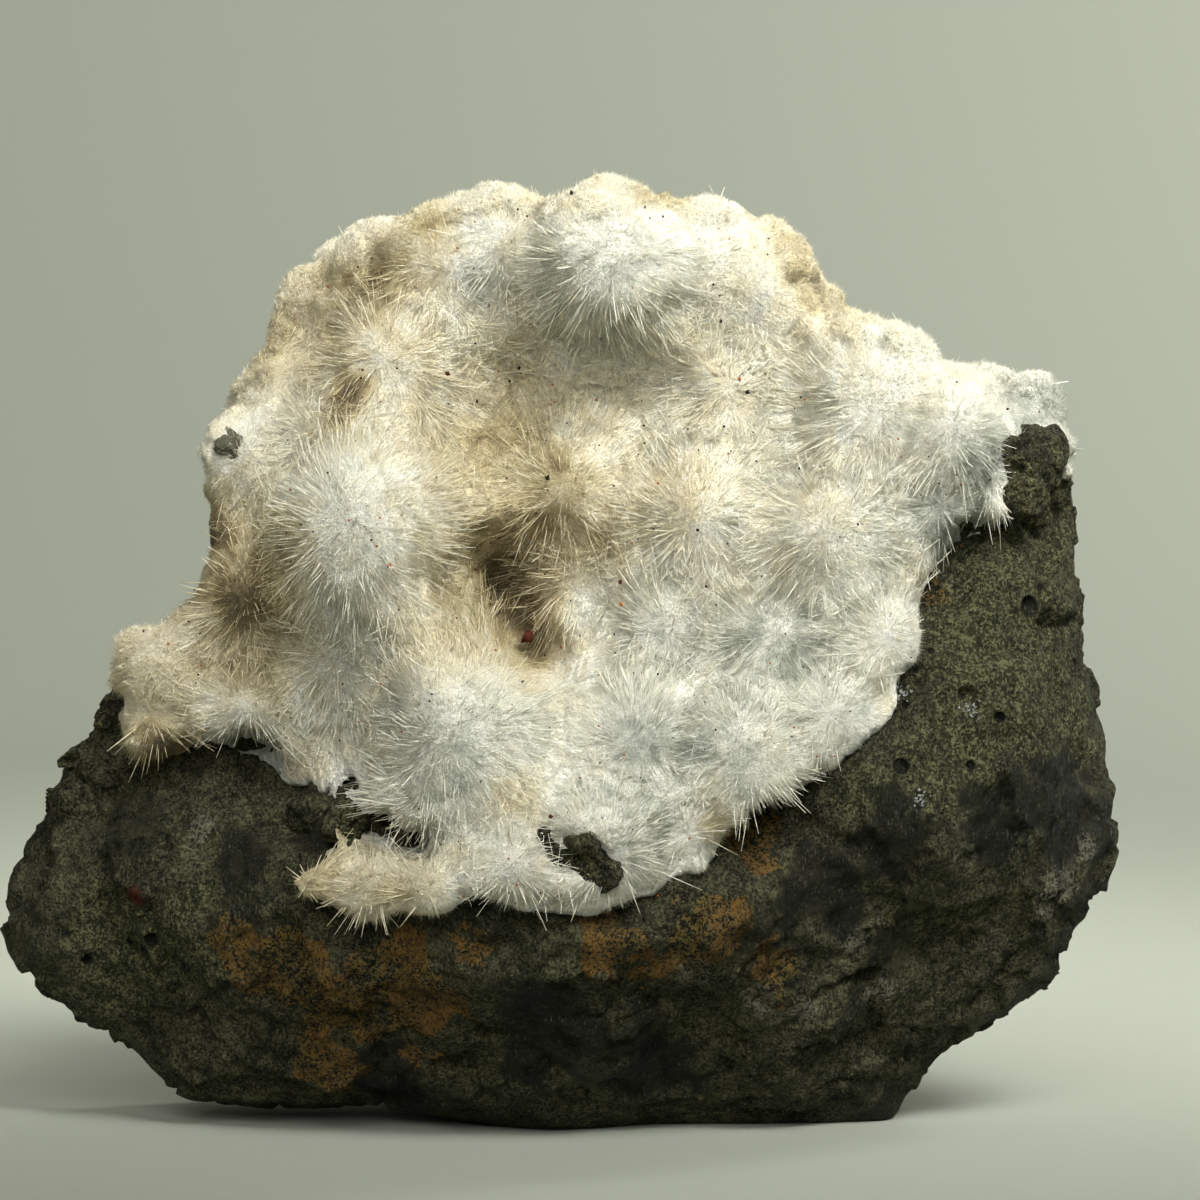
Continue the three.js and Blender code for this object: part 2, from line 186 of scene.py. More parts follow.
def linear(colour):
    """A hex sRGB colour as linear RGBA."""
    parts = [int(colour[i : i + 2], 16) / 255 for i in (1, 3, 5)]
    return (*[c / 12.92 if c <= 0.04045 else ((c + 0.055) / 1.055) ** 2.4 for c in parts], 1.0)


def add(tree, kind, settings=(), links=()):
    """Adds a node, sets its attributes and sockets, and links sockets to its inputs."""
    node = tree.nodes.new(kind)
    for key, value in dict(settings).items():
        if isinstance(key, str) and hasattr(node, key):
            setattr(node, key, value)
        else:
            node.inputs[key].default_value = value
    for key, socket in dict(links).items():
        tree.links.new(socket, node.inputs[key])
    return node


def set_stops(ramp, stops):
    """Gives a colour ramp its stops: places from 0 to 1, in order, with hex colours."""
    elements = ramp.color_ramp.elements
    for position, _ in stops[1:-1]:
        elements.new(position)
    for element, (position, colour) in zip(elements, stops):
        element.position = position
        element.color = linear(colour)


def new_material(name):
    """An empty node material and its tree."""
    material = bpy.data.materials.new(name)
    material.use_nodes = True
    material.node_tree.nodes.clear()
    return material, material.node_tree


# ---------------------------------------------------------------- patterns worked out on points


def chance(i, j, k, seed):
    """Repeatable numbers from 0 to 1 for whole-numbered places."""
    h = i * 73856093 ^ j * 19349663 ^ k * 83492791 ^ seed * 40503
    h = (h ^ (h >> 13)) * 1274126177 & 0xFFFFFFFF
    h = (h ^ (h >> 16)) * 2246822519 & 0xFFFFFFFF
    return ((h ^ (h >> 15)) & 0xFFFFFF) / 0xFFFFFF


def lumps(points, cell, seed):
    """Smooth lumps from -1 to 1, one to a cell."""
    p = points / cell
    base = np.floor(p).astype(np.int64)
    f = p - base
    f = f * f * (3 - 2 * f)
    total = np.zeros(len(p))
    for corner in range(8):
        o = np.array([corner & 1, corner >> 1 & 1, corner >> 2 & 1])
        weight = np.prod(np.where(o, f, 1 - f), axis=1)
        total += weight * chance(*(base + o).T, seed)
    return 2 * total - 1


def chips(points, cell, tilt, seed):
    """Flat-faced chips, as rock breaks: each point takes the tilted plane of its nearest seed."""
    p = points / cell
    base = np.floor(p).astype(np.int64)
    nearest = np.full(len(p), 1e9)
    height = np.zeros(len(p))
    for o in np.ndindex(3, 3, 3):
        at = base + np.array(o) - 1
        seeds = at + np.stack([chance(*at.T, seed + n) for n in range(3)], axis=1)
        slope = np.stack([chance(*at.T, seed + 3 + n) for n in range(3)], axis=1) * 2 - 1
        away = p - seeds
        distance = (away**2).sum(axis=1)
        closer = distance < nearest
        nearest = np.where(closer, distance, nearest)
        plane = (away * slope).sum(axis=1) + 0.5 * (chance(*at.T, seed + 7) - 0.5)
        height = np.where(closer, plane, height)
    return height * cell * tilt


def sway(points, cell, seed):
    """A smooth random direction, one to a cell, that neighbours share."""
    return np.stack([lumps(points, cell, seed + axis) for axis in range(3)], axis=1)


def smooth(value, low, high):
    """0 below low, 1 above high, and a soft step between."""
    t = np.clip((value - low) / (high - low), 0, 1)
    return t * t * (3 - 2 * t)


def unit(vectors):
    return vectors / np.linalg.norm(vectors, axis=1)[:, None]


def patches(points, table, ragged, seed):
    """How far each point lies in the round patches of a table, 0 to 1, with ragged edges."""
    x = points[:, 0] - MIDDLE[0]
    z = points[:, 2]
    wander = ragged * (lumps(points, 3.0, seed) + 0.6 * lumps(points, 1.2, seed + 1))
    best = np.zeros(len(points))
    for px, pz, radius in table:
        distance = np.hypot(x - px, z - pz) + wander
        best = np.maximum(best, 1 - smooth(distance, 0.7 * radius, 1.15 * radius))
    return best


# ---------------------------------------------------------------- meshes


def select_only(*objects):
    """Selects these objects and nothing else, and makes the first the active one."""
    bpy.ops.object.select_all(action="DESELECT")
    for obj in objects:
        obj.select_set(True)
    bpy.context.view_layer.objects.active = objects[0]


def active_object():
    return bpy.context.view_layer.objects.active


def apply_modifier(obj, kind, **settings):
    """Adds a modifier, sets it and applies it."""
    select_only(obj)
    modifier = obj.modifiers.new(kind.title(), kind)
    for key, value in settings.items():
        setattr(modifier, key, value)
    bpy.ops.object.modifier_apply(modifier=modifier.name)


def remesh(obj, spacing, rounds):
    """Lays one even skin over an object, with this spacing in metres, and smooths it a few rounds."""
    apply_modifier(obj, "REMESH", mode="VOXEL", voxel_size=spacing)
    apply_modifier(obj, "SMOOTH", factor=0.5, iterations=rounds)


def joined_spheres(name, spheres, subdivisions):
    """One object of spheres, from a place in metres and a radius in mm for each."""
    made = []
    for place, radius in spheres:
        bpy.ops.object.select_all(action="DESELECT")
        bpy.ops.mesh.primitive_ico_sphere_add(subdivisions=subdivisions, radius=radius * MM, location=place)
        made.append(active_object())
    select_only(*made)
    bpy.ops.object.join()
    joined = active_object()
    joined.name = name
    bpy.ops.object.transform_apply(location=True, rotation=True, scale=True)
    return joined


def merged_copy(node, name):
    """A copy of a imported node's mesh with its loose triangles joined."""
    obj = bpy.data.objects.new(name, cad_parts[node].data.copy())
    obj.data.materials.clear()
    bpy.context.collection.objects.link(obj)
    select_only(obj)
    bpy.ops.object.mode_set(mode="EDIT")
    bpy.ops.mesh.select_all(action="SELECT")
    bpy.ops.mesh.remove_doubles(threshold=0.01 * MM)
    bpy.ops.object.mode_set(mode="OBJECT")
    return obj


def vertex_values(mesh, what):
    """Every vertex's place or normal as rows of x, y, z."""
    found = np.empty(len(mesh.vertices) * 3)
    mesh.vertices.foreach_get(what, found)
    return found.reshape(-1, 3)


def points_of(mesh):
    return vertex_values(mesh, "co") / MM


def normals_of(mesh):
    return vertex_values(mesh, "normal")


def set_points(mesh, points):
    mesh.vertices.foreach_set("co", (points * MM).ravel())
    mesh.update()


def store(mesh, name, values):
    """Keeps a number, or a direction, for each vertex under a name that a material reads."""
    kind, field = ("FLOAT", "value") if values.ndim == 1 else ("FLOAT_VECTOR", "vector")
    layer = mesh.attributes.new(name, kind, "POINT")
    layer.data.foreach_set(field, values.ravel())


def surface_tree(mesh):
    return BVHTree.FromPolygons([v.co for v in mesh.vertices], [p.vertices for p in mesh.polygons])


def height_over(tree, points):
    """Distance of each point from a surface, mm: negative inside."""
    found = np.empty(len(points))
    for i, p in enumerate(points * MM):
        place, normal, _, distance = tree.find_nearest(p)
        found[i] = distance if (Vector(p) - place).dot(normal) > 0 else -distance
    return found / MM


def from_front(tree, x, z):
    """What a straight line from the front at x and z, in mm, first meets of a surface."""
    return tree.ray_cast(Vector((x + MIDDLE[0], IN_FRONT, z)) * MM, Vector((0, 1, 0)))


def first_hit(trees, x, z):
    """Where a line from the front first meets one of the surfaces, mm, and the way it faces there."""
    hits = [from_front(tree, x, z) for tree in trees]
    hits = [hit for hit in hits if hit[0]]
    if not hits:
        return None, None
    place, normal, _, _ = min(hits, key=lambda hit: hit[3])
    return np.array(place) / MM, np.array(normal)


def mesh_object(name, verts, faces):
    """A triangle mesh object from rows of places in mm and rows of three corners."""
    mesh = bpy.data.meshes.new(name)
    mesh.vertices.add(len(verts))
    mesh.vertices.foreach_set("co", (verts * MM).ravel())
    mesh.loops.add(len(faces) * 3)
    mesh.loops.foreach_set("vertex_index", faces.ravel())
    mesh.polygons.add(len(faces))
    mesh.polygons.foreach_set("loop_start", np.arange(0, len(faces) * 3, 3))
    mesh.polygons.foreach_set("loop_total", np.full(len(faces), 3))
    mesh.update(calc_edges=True)
    obj = bpy.data.objects.new(name, mesh)
    bpy.context.collection.objects.link(obj)
    return obj


def needle_mesh(name, roots, tips, widths, tints, blunt):
    """One mesh of closed three-sided needles: pointed ones, or blunt ones with a flat end."""
    along = unit(tips - roots)
    other = np.where(np.abs(along[:, 2:]) < 0.8, [[0.0, 0.0, 1.0]], [[1.0, 0.0, 0.0]])
    side = unit(np.cross(along, other))
    third = np.cross(along, side)
    turn = (np.arange(len(roots)) * GOLDEN_ANGLE)[:, None]
    half = widths[:, None] / 2
    ring = []
    for corner in range(3):
        a = turn + corner * 2 * math.pi / 3
        ring.append((np.cos(a) * side + np.sin(a) * third) * half)
    foot = [roots + r for r in ring]
    if blunt:
        verts = np.stack([*foot, *[tips + r * 0.75 for r in ring]], axis=1)
        pattern = [(0, 2, 1), (3, 4, 5)]
        for a, b in ((0, 1), (1, 2), (2, 0)):
            pattern += [(a, b, b + 3), (a, b + 3, a + 3)]
        shares = [0.02, 0.0, 0.04, 0.98, 1.0, 0.96]
    else:
        verts = np.stack([*foot, tips], axis=1)
        pattern = [(0, 2, 1), (0, 1, 3), (1, 2, 3), (2, 0, 3)]
        shares = [0.02, 0.0, 0.04, 1.0]
    pattern = np.array(pattern)
    count = verts.shape[1]
    faces = (np.arange(len(roots))[:, None, None] * count + pattern[None]).reshape(-1, 3)
    obj = mesh_object(name, verts.reshape(-1, 3), faces)
    layer = obj.data.uv_layers.new(name="OFBake")
    spread = np.array([0.0, 0.004, 0.002, 0.0, 0.004, 0.002])[:count]
    u = np.array(shares)[pattern].ravel()[None, :].repeat(len(roots), axis=0)
    v = tints[:, None] + spread[pattern].ravel()[None, :]
    layer.data.foreach_set("uv", np.stack([u, v], axis=2).ravel())
    return obj


def scatter(mesh, count, density, rng):
    """Random places on a mesh with their normals, as thick as each vertex's density says, mm."""
    mesh.calc_loop_triangles()
    corners = np.empty(len(mesh.loop_triangles) * 3, dtype=np.int64)
    mesh.loop_triangles.foreach_get("vertices", corners)
    corners = corners.reshape(-1, 3)
    p = points_of(mesh)
    n = normals_of(mesh)
    a, b, c = (p[corners[:, i]] for i in range(3))
    weight = np.linalg.norm(np.cross(b - a, c - a), axis=1) * density[corners].mean(axis=1)
    pick = rng.choice(len(corners), size=count, p=weight / weight.sum())
    u, v = rng.random((2, count))
    flip = u + v > 1
    u, v = np.where(flip, 1 - u, u), np.where(flip, 1 - v, v)
    w = 1 - u - v
    place = a[pick] * w[:, None] + b[pick] * u[:, None] + c[pick] * v[:, None]
    normal = sum(n[corners[pick, i]] * share[:, None] for i, share in enumerate((w, u, v)))
    return place, unit(normal)


def grain_mesh(name, places, sizes, rng):
    """One mesh of small rough crystals: eight-faced grains, each out of true in its own way."""
    corners = np.array([[1, 0, 0], [-1, 0, 0], [0, 1, 0], [0, -1, 0], [0, 0, 1], [0, 0, -1]], dtype=float)
    pattern = [(0, 2, 4), (2, 1, 4), (1, 3, 4), (3, 0, 4), (2, 0, 5), (1, 2, 5), (3, 1, 5), (0, 3, 5)]
    pattern = np.array(pattern)
    stretch = rng.uniform(0.6, 1.25, (len(places), 6, 1))
    verts = corners[None] * stretch * sizes[:, None, None] / 2
    turn, _ = np.linalg.qr(rng.normal(0, 1, (len(places), 3, 3)))
    turn[:, :, 0] *= np.sign(np.linalg.det(turn))[:, None]
    verts = verts @ turn + places[:, None, :]
    faces = (np.arange(len(places))[:, None, None] * 6 + pattern[None]).reshape(-1, 3)
    return mesh_object(name, verts.reshape(-1, 3), faces)


# ---------------------------------------------------------------- how the rock broke and the okenite grew


def fresh_break(points):
    """How far each point lies in the fresh break on the front, 0 to 1."""
    return patches(points, FRESH_BREAK, 1.2, FRESH_FACE) * smooth(-points[:, 1], -3, 2)


def puff_middles():
    """Middle of each puff, mm, found over the basalt behind it."""
    tree = surface_tree(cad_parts["basalt_matrix"].data)
    rim = ROCK_RIM_Y + MIDDLE[1]
    middles = []
    for x, z, radius, lift, _, _ in PUFFS:
        hit = from_front(tree, x, z)
        wall = min(hit[0].y / MM, rim) if hit[0] else rim
        middles.append((x + MIDDLE[0], wall - FELT - lift * radius, z))
    return np.array(middles, dtype=float)


def nuclei(middles):
    """Where each puff's needles spread from: inside it, under the middle of its star."""
    table = np.array(PUFFS, dtype=float)
    forward = unit(np.stack([table[:, 4], -np.ones(len(table)), table[:, 5]], axis=1))
    return middles + forward * table[:, 2:3] * NUCLEUS


def nearest_puff(points, middles):
    """The puff that each point belongs to, and how far outside it lies, mm."""
    best = np.full(len(points), 1e9)
    which = np.zeros(len(points), dtype=int)
    for i, (middle, puff) in enumerate(zip(middles, PUFFS)):
        over = np.linalg.norm(points - middle, axis=1) - puff[2]
        closer = over < best
        best = np.where(closer, over, best)
        which = np.where(closer, i, which)
    return which, best


def line_distance(points, start, end):
    """Distance of points from a straight line, seen from the front, and how far along it they lie."""
    flat = points[:, [0, 2]] - MIDDLE[[0, 2]] - start
    way = end - start
    share = np.clip(flat @ way / (way @ way), 0, 1)
    return np.linalg.norm(flat - share[:, None] * way, axis=1), share


def rim_at(points):
    """How far inside the rim's broken band each point lies, mm: negative outside it."""
    rim = np.array(RIM, dtype=float)
    inside = np.full(len(points), -9.0)
    for start, end in zip(rim, rim[1:]):
        distance, share = line_distance(points, start[:2], end[:2])
        width = start[2] + (end[2] - start[2]) * share
        inside = np.maximum(inside, width - distance)
    return inside + 0.9 * lumps(points, 3, 83) + 0.5 * lumps(points, 1.3, 84)


def rind_at(points):
    """Where the okenite is a broken rind with hardly a needle on it: along the rim, and at the back."""
    back = smooth(points[:, 1] + 0.8 * lumps(points, 3, 81), 1.0, 4.0)
    return np.maximum(smooth(rim_at(points), -0.6, 0.9), back)


def bare_at(points):
    """How far the okenite drops back at the bare places, mm."""
    drop = np.zeros(len(points))
    for x, z, radius, depth in BARE:
        drop = np.maximum(drop, depth * patches(points, [(x, z, radius)], 0.5, 95))
    return drop


def cleft_at(points):
    """How far each point lies in the dark gap, 0 to 1."""
    distance, _ = line_distance(points, CLEFT_TOP, CLEFT_END)
    return 1 - smooth(distance + 0.7 * lumps(points, 2, 91), 0.1 * CLEFT_HALF, 1.7 * CLEFT_HALF)


def tint_at(points, over, margin):
    """Place on the tint scale: glassy at the margin, white puffs, cream between them (partly painted shade
    in the hollows), then the listed tints (stains and painted shade) and painted shade in the dark gap.
    """
    # partly painted shade: the hollows between the puffs are cream, the puffs white
    tint = 0.22 + 0.12 * smooth(over, -0.6, 1.2)
    x = points[:, 0] - MIDDLE[0]
    z = points[:, 2]
    ragged = 0.3 * lumps(points, 2.2, 6) + 0.25 * lumps(points, 0.9, 7)
    for tx, tz, radius, value in TINTS:
        near = np.exp(-((np.hypot(x - tx, z - tz) / radius + ragged).clip(0) ** 2))
        tint += (value - tint) * near
    # painted shade: the dark gap between the puffs is tinted dark grey-brown
    tint += (0.7 - tint) * 0.9 * cleft_at(points)
    tint += (0.06 - tint) * 0.8 * (1 - smooth(margin, 0.5, 1.8))
    return tint + 0.05 * lumps(points, 3.0, 5)


# ---------------------------------------------------------------- materials


def basalt_material():
    """Basalt, broken: fine-grained and dull. Pale feldspar laths show on the fresh break, a dark skin
    and iron stains on the old faces."""
    material, tree = new_material("Broken basalt")
    place = add(tree, "ShaderNodeTexCoord").outputs["Object"]
    marks = {
        name: add(tree, "ShaderNodeAttribute", {"attribute_name": name}).outputs["Fac"]
        for name in ("fresh", "black", "ochre", "pale", "red")
    }
    # blotches of 4 mm, clumps of 1 mm and grain of 0.4 mm
    cloud, clump, grain = (
        add(
            tree,
            "ShaderNodeTexNoise",
            {"Scale": scale, "Detail": detail, "Roughness": rough},
            {"Vector": place},
        )
        for scale, detail, rough in ((230.0, 4.0, 0.6), (1050.0, 5.0, 0.75), (2600.0, 4.0, 0.7))
    )
    # crystals of 0.2 mm, added to the clumps, and to the blotches as well
    bent = add(
        tree,
        "ShaderNodeVectorMath",
        {"operation": "MULTIPLY_ADD", 1: (0.0004, 0.0004, 0.0004)},
        {0: clump.outputs["Color"], 2: place},
    )
    cells = add(tree, "ShaderNodeTexVoronoi", {"Scale": 5400.0}, {"Vector": bent.outputs["Vector"]})
    crystal = add(tree, "ShaderNodeRGBToBW", (), {"Color": cells.outputs["Color"]})
    speckled = add(
        tree,
        "ShaderNodeMath",
        {"operation": "MULTIPLY_ADD", 1: 0.6},
        {0: crystal.outputs["Val"], 2: clump.outputs["Fac"]},
    )
    mottled = add(
        tree,
        "ShaderNodeMath",
        {"operation": "MULTIPLY_ADD", 1: 0.8},
        {0: cloud.outputs["Fac"], 2: speckled.outputs["Value"]},
    )
    # old faces run from black to olive, a fresh break from dark to pale grey-olive
    halved = add(tree, "ShaderNodeMath", {"operation": "MULTIPLY", 1: 0.5}, {0: mottled.outputs["Value"]})
    old = add(tree, "ShaderNodeValToRGB", (), {"Fac": halved.outputs["Value"]})
    set_stops(old, ((0.47, "#0d0e08"), (0.6, "#2e2e1d"), (0.8, "#5d5c43")))
    new = add(tree, "ShaderNodeValToRGB", (), {"Fac": speckled.outputs["Value"]})
    set_stops(new, ((0.45, "#0f1009"), (0.8, "#2c2d1a"), (1.0, "#5b5b3f")))
    colour = old.outputs["Color"]
    # each mark shows where it times a pattern passes a limit, so it breaks up into flecks at its edge
    for name, pattern, low, high, most, over in (
        ("fresh", speckled, 0.4, 0.65, 1.0, new.outputs["Color"]),
        ("black", speckled, 0.35, 0.95, 0.9, "#090908"),
        ("ochre", mottled, 1.08, 1.36, 0.85, "#6e4515"),
        ("ochre", speckled, 0.72, 1.05, 0.5, "#5c5a2e"),
        ("pale", speckled, 0.65, 1.0, 0.65, "#6c6a59"),
        ("red", speckled, 0.45, 0.8, 0.65, "#5e180b"),
    ):
        edge = add(
            tree, "ShaderNodeMath", {"operation": "MULTIPLY"}, {0: marks[name], 1: pattern.outputs["Value"]}
        )
        share = add(
            tree,
            "ShaderNodeMapRange",
            {"From Min": low, "From Max": high, "To Max": most},
            {"Value": edge.outputs["Value"]},
        )
        mixed = add(tree, "ShaderNodeMix", {"data_type": "RGBA"}, {0: share.outputs["Result"], 6: colour})
        if isinstance(over, str):
            mixed.inputs[7].default_value = linear(over)
        else:
            tree.links.new(over, mixed.inputs[7])
        colour = mixed.outputs[2]

    # feldspar laths: streaks under 1 mm long that lie three ways
    for turn in ((0.4, 0.2, 0.9), (1.7, 0.9, 2.1), (2.6, 1.9, 0.3)):
        laid = add(
            tree,
            "ShaderNodeMapping",
            {"Rotation": turn, "Scale": (1.0, 1.0, 0.16)},
            {"Vector": place},
        )
        lath = add(
            tree, "ShaderNodeTexNoise", {"Scale": 7500.0, "Detail": 1.0}, {"Vector": laid.outputs["Vector"]}
        )
        share = add(
            tree,
            "ShaderNodeMapRange",
            {"From Min": 0.66, "From Max": 0.76, "To Max": 0.45},
            {"Value": lath.outputs["Fac"]},
        )
        mixed = add(
            tree,
            "ShaderNodeMix",
            {"data_type": "RGBA", 7: linear("#6f6d55")},
            {0: share.outputs["Result"], 6: colour},
        )
        colour = mixed.outputs[2]

    gloss = add(tree, "ShaderNodeMapRange", {"To Min": 0.85, "To Max": 0.55}, {"Value": marks["black"]})
    uneven = add(
        tree, "ShaderNodeBump", {"Strength": 1.0, "Distance": 0.8 * MM}, {"Height": clump.outputs["Fac"]}
    )
    bump = add(
        tree,
        "ShaderNodeBump",
        {"Strength": 0.9, "Distance": 0.4 * MM},
        {"Height": grain.outputs["Fac"], "Normal": uneven.outputs["Normal"]},
    )
    shader = add(
        tree,
        "ShaderNodeBsdfPrincipled",
        {"IOR": 1.5, "Specular IOR Level": 0.12},
        {"Base Color": colour, "Roughness": gloss.outputs["Result"], "Normal": bump.outputs["Normal"]},
    )
    add(tree, "ShaderNodeOutputMaterial", (), {"Surface": shader.outputs["BSDF"]})
    return material


def tint_ramp(tree, value):
    """Okenite's colours along the tint scale: glassy grey, white, cream, tan, brown, a dark grey for painted
    shade, rust.
    """
    ramp = add(tree, "ShaderNodeValToRGB", (), {"Fac": value})
    stops = [
        (0.0, "#93978a"), (0.12, "#c6c8b7"), (0.22, "#f4f3e4"), (0.38, "#ebe2c4"), (0.55, "#c9bb8f"),
        (0.66, "#8d7c55"), (0.8, "#4b4535"), (1.0, "#a35f27"),
    ]
    set_stops(ramp, stops)
    return ramp.outputs["Color"]


def felt_material():
    """Okenite grown as a mat: chalky, and silky along its fibres."""
    material, tree = new_material("Matted okenite")
    place = add(tree, "ShaderNodeTexCoord").outputs["Object"]
    tint = add(tree, "ShaderNodeAttribute", {"attribute_name": "tint"})
    ray = add(tree, "ShaderNodeAttribute", {"attribute_name": "ray"}).outputs["Vector"]
    # clouds of 2 mm and tufts of 0.7 mm; fibres fan out of each puff, so those streaks follow the ray:
    # bundles of 0.4 mm and fibres of 0.1 mm
    cloud, fine, bundle, fibre = (
        add(
            tree,
            "ShaderNodeTexNoise",
            {"Scale": scale, "Detail": detail, "Roughness": rough},
            {"Vector": along},
        )
        for scale, detail, rough, along in (
            (500.0, 4.0, 0.5, place),
            (1500.0, 5.0, 0.65, place),
            (18.0, 2.0, 0.5, ray),
            (60.0, 3.0, 0.5, ray),
        )
    )
    shift = add(
        tree,
        "ShaderNodeMapRange",
        {"From Min": 0.3, "From Max": 0.7, "To Min": -0.09, "To Max": 0.09},
        {"Value": cloud.outputs["Fac"]},
    )
    total = add(
        tree, "ShaderNodeMath", {"operation": "ADD"}, {0: tint.outputs["Fac"], 1: shift.outputs["Result"]}
    )
    height = add(
        tree,
        "ShaderNodeMath",
        {"operation": "MULTIPLY_ADD", 1: 0.6},
        {0: bundle.outputs["Fac"], 2: fibre.outputs["Fac"]},
    )
    streak = add(
        tree, "ShaderNodeBump", {"Strength": 0.8, "Distance": 0.22 * MM}, {"Height": height.outputs["Value"]}
    )
    bump = add(
        tree,
        "ShaderNodeBump",
        {"Strength": 1.0, "Distance": 0.8 * MM},
        {"Height": fine.outputs["Fac"], "Normal": streak.outputs["Normal"]},
    )
    # painted shade: the colour is darker in the gaps between fibres
    gap = add(
        tree,
        "ShaderNodeMapRange",
        {"From Min": 0.68, "From Max": 0.92, "To Min": 0.62, "To Max": 1.0},
        {"Value": height.outputs["Value"]},
    )
    shade = add(
        tree,
        "ShaderNodeMix",
        {"data_type": "RGBA", "blend_type": "MULTIPLY", 0: 1.0},
        {6: tint_ramp(tree, total.outputs["Value"]), 7: gap.outputs["Result"]},
    )
    shader = add(
        tree,
        "ShaderNodeBsdfPrincipled",
        {"Roughness": 0.7, "IOR": 1.54},
        {"Base Color": shade.outputs[2], "Normal": bump.outputs["Normal"]},
    )
    add(tree, "ShaderNodeOutputMaterial", (), {"Surface": shader.outputs["BSDF"]})
    return material


def needle_material():
    """Okenite needles: glassy white fibres, tinted by a scale that runs across their map."""
    material, tree = new_material("Okenite needles")
    layout = add(tree, "ShaderNodeUVMap", {"uv_map": "OFBake"})
    split = add(tree, "ShaderNodeSeparateXYZ", (), {"Vector": layout.outputs["UV"]})
    colour = tint_ramp(tree, split.outputs["Y"])
    face = add(tree, "ShaderNodeBsdfPrincipled", {"Roughness": 0.2, "IOR": 1.54}, {"Base Color": colour})
    # a fibre this thin is lit from behind as well
    through = add(tree, "ShaderNodeBsdfTranslucent", (), {"Color": colour})
    shader = add(
        tree, "ShaderNodeMixShader", {0: 0.4}, {1: face.outputs["BSDF"], 2: through.outputs["BSDF"]}
    )
    add(tree, "ShaderNodeOutputMaterial", (), {"Surface": shader.outputs["Shader"]})
    return material


def quartz_material():
    """Druse of clear quartz over dark basalt: colourless, with its glassy faces."""
    material, tree = new_material("Clear quartz druse")
    shader = add(
        tree,
        "ShaderNodeBsdfPrincipled",
        {"Base Color": linear("#90928a"), "Roughness": 0.2, "IOR": 1.54, "Transmission Weight": 0.5},
    )
    add(tree, "ShaderNodeOutputMaterial", (), {"Surface": shader.outputs["BSDF"]})
    return material


def grain_material(name, colour):
    """Grains of iron oxide, clay and black ore caught in the needles: dull and a little mottled."""
    material, tree = new_material(name)
    place = add(tree, "ShaderNodeTexCoord").outputs["Object"]
    cloud = add(tree, "ShaderNodeTexNoise", {"Scale": 4000.0, "Detail": 2.0}, {"Vector": place})
    dark = tuple(0.45 * c for c in linear(colour)[:3]) + (1.0,)
    mixed = add(
        tree,
        "ShaderNodeMix",
        {"data_type": "RGBA", 6: dark, 7: linear(colour)},
        {0: cloud.outputs["Fac"]},
    )
    shader = add(
        tree,
        "ShaderNodeBsdfPrincipled",
        {"Roughness": 0.8, "IOR": 1.5, "Specular IOR Level": 0.2},
        {"Base Color": mixed.outputs[2]},
    )
    add(tree, "ShaderNodeOutputMaterial", (), {"Surface": shader.outputs["BSDF"]})
    return material


def paper_material(colour):
    """Seamless studio paper: pale sage grey, matt."""
    material, tree = new_material("Sage studio paper")
    shader = add(
        tree,
        "ShaderNodeBsdfPrincipled",
        {"Base Color": (*colour, 1.0), "Roughness": 0.95, "Specular IOR Level": 0.1},
    )
    add(tree, "ShaderNodeOutputMaterial", (), {"Surface": shader.outputs["BSDF"]})
    return material


# ---------------------------------------------------------------- sizes and colours to change


class BasaltSettings(bpy.types.PropertyGroup):
    voxel: bpy.props.FloatProperty(
        name="Mesh size", description="Spacing of the fine mesh", default=0.51 * MM, unit="LENGTH"
    )
    chip: bpy.props.FloatProperty(
        name="Chip size", description="Width of the larger flat chips", default=9 * MM, unit="LENGTH"
    )


class MatSettings(bpy.types.PropertyGroup):
    voxel: bpy.props.FloatProperty(
        name="Mesh size", description="Spacing of the fine mesh", default=0.45 * MM, unit="LENGTH"
    )
    fill: bpy.props.FloatProperty(
        name="Fill",
        description="Half the width of the gaps that the mat fills",
        default=5.0 * MM,
        unit="LENGTH",
    )


class NeedleSettings(bpy.types.PropertyGroup):
    width: bpy.props.FloatProperty(
        name="Needle width",
        description="Width of a standing needle at its root",
        default=0.08 * MM,
        unit="LENGTH",
    )
    fur: bpy.props.IntProperty(
        name="Fur", description="Number of fine needles that make the soft body of the puffs", default=205000
    )
    fringe: bpy.props.IntProperty(
        name="Fringe", description="Number of longer needles that stand past the fur", default=9000
    )
    strays: bpy.props.IntProperty(
        name="Strays", description="Number of needles that lie on the mat between the puffs", default=12000
    )
    seed: bpy.props.IntProperty(name="Seed", description="Changes where the needles stand", default=11)


class StageSettings(bpy.types.PropertyGroup):
    backdrop: bpy.props.FloatVectorProperty(
        name="Backdrop", description="Colour of the paper", subtype="COLOR", default=linear("#94978a")[:3]
    )
    lens: bpy.props.FloatProperty(name="Lens", description="Focal length of the camera, mm", default=120.0)
    across: bpy.props.FloatProperty(
        name="Width of view", description="Width seen at the specimen", default=102 * MM, unit="LENGTH"
    )


class SpecimenSettings(bpy.types.PropertyGroup):
    basalt: bpy.props.PointerProperty(type=BasaltSettings)
    mat: bpy.props.PointerProperty(type=MatSettings)
    needles: bpy.props.PointerProperty(type=NeedleSettings)
    stage: bpy.props.PointerProperty(type=StageSettings)


# ---------------------------------------------------------------- operators


